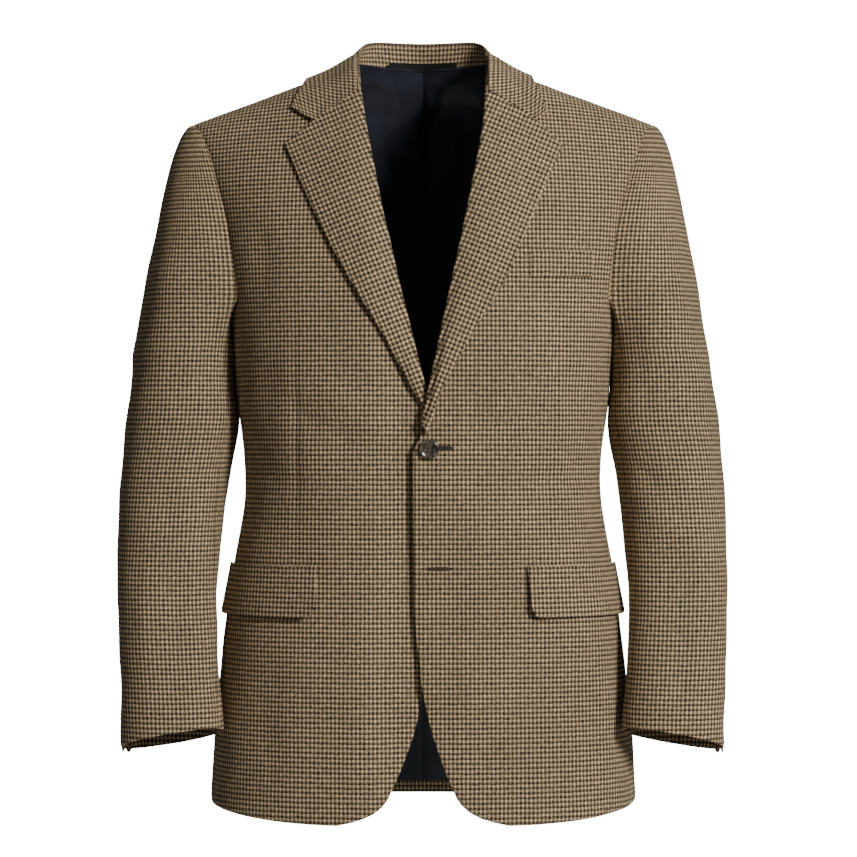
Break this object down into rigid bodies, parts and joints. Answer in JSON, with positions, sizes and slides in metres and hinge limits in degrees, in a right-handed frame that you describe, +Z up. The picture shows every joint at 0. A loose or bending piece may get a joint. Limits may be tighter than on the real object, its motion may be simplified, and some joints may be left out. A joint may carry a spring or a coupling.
{
  "type": "blazer",
  "caption": "Hollow single-breasted houndstooth blazer with notch lapels, flap pockets, horn buttons and open sleeves, filled out as if worn.",
  "frame": {"origin": "the point between the shoulders where the wearer holds the garment: on the centre line, level with the shoulder line beside the neck", "axes": "the front faces -Y, +X is the wearer's left and +Z is up"},
  "size_m": [0.6279, 0.2703, 0.8061],
  "materials": {
    "tweed": "brown and tan houndstooth wool, matt",
    "lining": "dark navy satin",
    "label": "black woven label, bare",
    "horn": "dark brown horn, polished"
  },
  "bodies": {
    "root": {"back_left": "tweed", "back_right": "tweed", "breast_welt": "tweed", "collar": "tweed", "flap_left": "tweed", "flap_right": "tweed", "front_left": "tweed", "front_right": "tweed", "hem_facing": "tweed", "lapel_left": "tweed", "lapel_right": "tweed", "side_left": "tweed", "side_right": "tweed", "top_sleeve_left": "tweed", "top_sleeve_right": "tweed", "under_sleeve_left": "tweed", "under_sleeve_right": "tweed", "lining_left": "lining", "lining_right": "lining", "neck_label": "label", "button_upper": "horn", "button_lower": "horn", "sleeve_button_left_1": "horn", "sleeve_button_left_2": "horn", "sleeve_button_left_3": "horn", "sleeve_button_left_4": "horn", "sleeve_button_right_1": "horn", "sleeve_button_right_2": "horn", "sleeve_button_right_3": "horn", "sleeve_button_right_4": "horn"}
  },
  "joints": []
}
